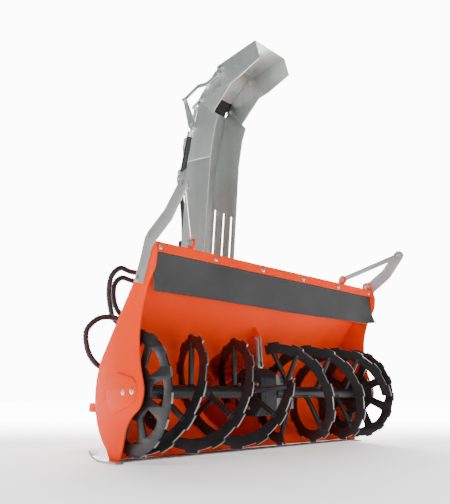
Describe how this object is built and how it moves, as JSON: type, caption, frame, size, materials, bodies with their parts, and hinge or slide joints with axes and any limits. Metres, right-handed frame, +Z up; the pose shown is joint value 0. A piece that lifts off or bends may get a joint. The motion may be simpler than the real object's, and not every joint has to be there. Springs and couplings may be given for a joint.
{
  "type": "two stage snowblower",
  "caption": "Tractor-mounted two stage snowblower: wide housing with toothed open ribbon auger, impeller drum, turning galvanised chute with hinged deflectors, drift arms and skids.",
  "frame": {"origin": "on the ground under the middle of the cutting edge, at the underside of the edge", "axes": "+X to the machine's right, +Y to the rear towards the tractor, +Z up the chute"},
  "size_m": [1.414, 1.0401, 1.898],
  "materials": {
    "orange_paint": "satin powder coat",
    "auger_black": "semi-gloss black paint, bare at worn edges",
    "cast_black": "painted casting",
    "galvanised": "galvanised sheet",
    "zinc_arm": "matt zinc",
    "flap_rubber": "matt sheet rubber",
    "hose_rubber": "hose in spiral guard",
    "bare_steel": "turned bright steel",
    "black_plastic": "moulded black plastic"
  },
  "bodies": {
    "housing": {"side_plate_left": "orange_paint", "side_plate_right": "orange_paint", "bearing_cover_left": "orange_paint", "bearing_cover_right": "orange_paint", "auger_bearing_left": "cast_black", "auger_bearing_right": "cast_black", "trough_plate": "orange_paint", "hood_plate": "orange_paint", "top_flange": "orange_paint", "snow_flap": "flap_rubber", "cutting_edge": "auger_black", "skid_left": "galvanised", "skid_right": "galvanised", "drift_arm_left": "zinc_arm", "drift_arm_right": "zinc_arm", "arm_strut_left": "zinc_arm", "arm_strut_right": "zinc_arm", "impeller_drum": "orange_paint", "outlet_collar": "orange_paint", "drum_back_plate": "orange_paint", "impeller_bearing": "cast_black", "gearbox_case": "cast_black", "torque_gusset": "orange_paint", "torque_link": "galvanised", "hitch_cross_tube": "orange_paint", "hitch_mast": "orange_paint", "top_link_pin": "bare_steel", "pto_guard": "black_plastic", "parking_leg_socket": "orange_paint", "chute_motor": "cast_black", "hose_holder": "orange_paint", "swing_hose_outer": "hose_rubber", "swing_hose_inner": "hose_rubber", "motor_hose_outer": "hose_rubber", "motor_hose_inner": "hose_rubber"},
    "auger": {"auger_core_left": "auger_black", "auger_core_right": "auger_black", "auger_flight_left_a": "auger_black", "auger_flight_left_b": "auger_black", "auger_flight_right_a": "auger_black", "auger_flight_right_b": "auger_black", "auger_shaft": "bare_steel", "auger_gear": "bare_steel", "throwing_paddle": "galvanised"},
    "impeller": {"impeller_shaft": "bare_steel", "impeller_rotor": "orange_paint"},
    "chute": {"chute_ring_gear": "auger_black", "chute_lower": "galvanised", "chute_upper": "galvanised", "link_bracket": "galvanised", "hose_clamp": "black_plastic", "cylinder_hose_low": "hose_rubber", "cylinder_hose_high": "hose_rubber"},
    "chute_drive": {"drive_pinion": "bare_steel"},
    "lower_deflector": {"deflector_lower": "galvanised"},
    "upper_deflector": {"deflector_upper": "galvanised"},
    "link": {"deflector_link": "galvanised"},
    "barrel": {"cylinder_barrel": "auger_black"},
    "rod": {"cylinder_rod": "bare_steel"},
    "leg": {"parking_leg": "galvanised"}
  },
  "joints": [
    {"name": "auger_turn", "type": "hinge", "parent": "housing", "child": "auger", "pos_m": [0, -0.085, 0.236], "axis": [1, 0, 0], "continuous": true},
    {"name": "impeller_turn", "type": "hinge", "parent": "housing", "child": "impeller", "pos_m": [0, 0.3, 0.25], "axis": [0, 1, 0], "continuous": true},
    {"name": "chute_turn", "type": "hinge", "parent": "housing", "child": "chute", "pos_m": [0, 0.35, 0.54], "axis": [0, 0, 1], "range_deg": [-100, 100], "deforming": ["swing_hose_outer", "swing_hose_inner"]},
    {"name": "pinion_turn", "type": "hinge", "parent": "housing", "child": "chute_drive", "pos_m": [-0.18, 0.35, 0.53], "axis": [0, 0, 1], "range_deg": [-505, 505]},
    {"name": "lower_deflector_tilt", "type": "hinge", "parent": "chute", "child": "lower_deflector", "pos_m": [0, 0.251, 1.76], "axis": [1, 0, 0], "range_deg": [-18, 5]},
    {"name": "upper_deflector_tilt", "type": "hinge", "parent": "lower_deflector", "child": "upper_deflector", "pos_m": [0, 0.091, 1.872], "axis": [1, 0, 0], "range_deg": [-43.5, 12.5]},
    {"name": "link_swing", "type": "hinge", "parent": "chute", "child": "link", "pos_m": [-0.112, 0.4, 1.82], "axis": [1, 0, 0], "range_deg": [-9.5, 3]},
    {"name": "cylinder_swing", "type": "hinge", "parent": "chute", "child": "barrel", "pos_m": [-0.058, 0.47, 1.385], "axis": [1, 0, 0], "range_deg": [-0.6, 1.8], "deforming": ["cylinder_hose_low", "cylinder_hose_high"]},
    {"name": "rod_slide", "type": "slide", "parent": "barrel", "child": "rod", "axis": [0, -0.2689, 0.9632], "range_m": [-0.0345, 0.0095]},
    {"name": "leg_slide", "type": "slide", "parent": "housing", "child": "leg", "axis": [0, 0, 1], "range_m": [0, 0.09]}
  ],
  "couplings": [
    {"joint": "impeller_turn", "follows": "auger_turn", "ratio": 3},
    {"joint": "pinion_turn", "follows": "chute_turn", "ratio": -5},
    {"joint": "upper_deflector_tilt", "follows": "lower_deflector_tilt", "ratio": 2.4},
    {"joint": "link_swing", "follows": "lower_deflector_tilt", "ratio": 0.5},
    {"joint": "cylinder_swing", "follows": "lower_deflector_tilt", "ratio": -0.09},
    {"joint": "rod_slide", "follows": "lower_deflector_tilt", "m_per_rad": 0.1065}
  ]
}
